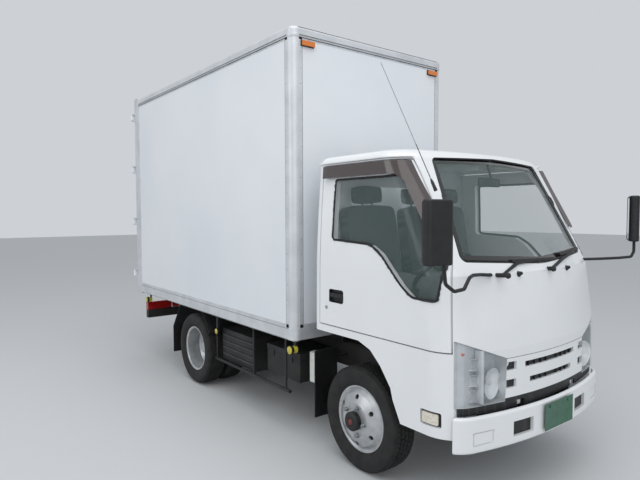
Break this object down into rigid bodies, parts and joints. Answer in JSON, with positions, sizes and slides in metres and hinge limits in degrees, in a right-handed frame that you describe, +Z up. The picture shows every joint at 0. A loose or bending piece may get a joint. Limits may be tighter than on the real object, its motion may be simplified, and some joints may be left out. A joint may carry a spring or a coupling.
{
  "type": "refrigerated box truck",
  "caption": "Light truck with a tilting cab, a tall insulated load box with swinging rear doors, steered front wheels and twin rear wheels.",
  "frame": {"origin": "on the ground under the middle of the truck's bounding box", "axes": "+X towards the truck's left side, +Y towards its rear doors (it drives towards -Y), +Z up"},
  "size_m": [2.288, 5.1729, 3.17],
  "materials": {
    "aluminium_rail": "satin",
    "bare_steel": "matte",
    "black_plastic": "matte",
    "cast_block": "matte",
    "clear_plastic": "satin",
    "dark_frame": "satin",
    "floor_alloy": "satin",
    "galvanised": "satin",
    "grey_plastic": "matte",
    "lamp_glass": "gloss",
    "orange_lens": "gloss",
    "seat_fabric": "matte",
    "silver_wheel": "satin",
    "smoked_plastic": "gloss",
    "tinted_glass": "gloss",
    "tyre_rubber": "matte",
    "white_paint": "gloss",
    "white_panel": "satin"
  },
  "bodies": {
    "chassis": {"battery_box": "dark_frame", "body_lamps": "orange_lens", "box_floor": "floor_alloy", "box_front_wall": "white_panel", "box_roof": "white_panel", "box_side_walls": "white_panel", "chassis_frame": "dark_frame", "condenser_unit": "dark_frame", "coolant_tank": "clear_plastic", "edge_rails": "aluminium_rail", "engine": "cast_block", "evaporator_unit": "grey_plastic", "exhaust": "bare_steel", "floor_bearers": "dark_frame", "front_axle": "dark_frame", "front_bumper": "white_paint", "fuel_tank": "dark_frame", "leaf_springs": "dark_frame", "propeller_shaft": "dark_frame", "rear_axle": "dark_frame", "rear_bumper": "dark_frame", "rear_door_frame": "aluminium_rail", "rear_mudguards": "black_plastic", "side_guards": "galvanised"},
    "cab": {"cab_shell": "white_paint", "front_lid": "white_paint", "grille_panel": "white_paint", "headlamps": "lamp_glass", "lower_grille": "black_plastic", "cab_windows": "tinted_glass", "mirrors": "black_plastic", "dashboard": "grey_plastic", "seats": "seat_fabric", "wipers": "black_plastic"},
    "driver_door": {"driver_door": "white_paint", "driver_door_glass": "tinted_glass", "driver_door_visor": "smoked_plastic"},
    "passenger_door": {"passenger_door": "white_paint", "passenger_door_glass": "tinted_glass", "passenger_door_visor": "smoked_plastic"},
    "steering_wheel": {"steering_wheel": "black_plastic"},
    "knuckle_right": {"knuckle_right": "dark_frame"},
    "knuckle_left": {"knuckle_left": "dark_frame"},
    "tie_rod": {"tie_rod": "dark_frame"},
    "front_right_wheel": {"front_right_tyre": "tyre_rubber", "front_right_wheel": "silver_wheel"},
    "front_left_wheel": {"front_left_tyre": "tyre_rubber", "front_left_wheel": "silver_wheel"},
    "rear_right_wheels": {"rear_right_tyres": "tyre_rubber", "rear_right_wheels": "silver_wheel"},
    "rear_left_wheels": {"rear_left_tyres": "tyre_rubber", "rear_left_wheels": "silver_wheel"},
    "rear_door_right": {"rear_door_right": "white_panel", "rear_door_right_lock": "galvanised"},
    "rear_door_left": {"rear_door_left": "white_panel", "rear_door_left_lock": "galvanised"}
  },
  "joints": [
    {"name": "cab_tilt", "type": "hinge", "parent": "chassis", "child": "cab", "pos_m": [0, -2.455, 0.615], "axis": [1, 0, 0], "range_deg": [0, 45]},
    {"name": "driver_door_swing", "type": "hinge", "parent": "cab", "child": "driver_door", "pos_m": [-0.776, -2.38, 1.2], "axis": [0, 0, 1], "range_deg": [0, 70]},
    {"name": "passenger_door_swing", "type": "hinge", "parent": "cab", "child": "passenger_door", "pos_m": [0.776, -2.38, 1.2], "axis": [0, 0, -1], "range_deg": [0, 70]},
    {"name": "steering_wheel_turn", "type": "hinge", "parent": "cab", "child": "steering_wheel", "pos_m": [-0.4, -1.987, 1.33], "axis": [0, 0.6644, 0.7474], "range_deg": [-525, 525]},
    {"name": "steer_right", "type": "hinge", "parent": "chassis", "child": "knuckle_right", "pos_m": [-0.6, -1.587, 0.357], "axis": [0, 0, 1], "range_deg": [-35, 35]},
    {"name": "steer_left", "type": "hinge", "parent": "chassis", "child": "knuckle_left", "pos_m": [0.6, -1.587, 0.357], "axis": [0, 0, 1], "range_deg": [-35, 35]},
    {"name": "tie_rod_pivot", "type": "hinge", "parent": "knuckle_right", "child": "tie_rod", "pos_m": [-0.6, -1.437, 0.285], "axis": [0, 0, 1], "range_deg": [-35, 35]},
    {"name": "front_right_roll", "type": "hinge", "parent": "knuckle_right", "child": "front_right_wheel", "pos_m": [-0.7075, -1.587, 0.357], "axis": [1, 0, 0], "continuous": true},
    {"name": "front_left_roll", "type": "hinge", "parent": "knuckle_left", "child": "front_left_wheel", "pos_m": [0.7075, -1.587, 0.357], "axis": [1, 0, 0], "continuous": true},
    {"name": "rear_right_roll", "type": "hinge", "parent": "chassis", "child": "rear_right_wheels", "pos_m": [-0.6515, 0.888, 0.357], "axis": [1, 0, 0], "continuous": true},
    {"name": "rear_left_roll", "type": "hinge", "parent": "chassis", "child": "rear_left_wheels", "pos_m": [0.6515, 0.888, 0.357], "axis": [1, 0, 0], "continuous": true},
    {"name": "rear_door_right_swing", "type": "hinge", "parent": "chassis", "child": "rear_door_right", "pos_m": [-0.887, 2.573, 1.99], "axis": [0, 0, 1], "range_deg": [0, 265]},
    {"name": "rear_door_left_swing", "type": "hinge", "parent": "chassis", "child": "rear_door_left", "pos_m": [0.887, 2.573, 1.99], "axis": [0, 0, -1], "range_deg": [0, 265]}
  ],
  "couplings": [
    {"joint": "steer_left", "follows": "steer_right", "ratio": 1},
    {"joint": "tie_rod_pivot", "follows": "steer_right", "ratio": -1},
    {"joint": "steering_wheel_turn", "follows": "steer_right", "ratio": 15}
  ]
}
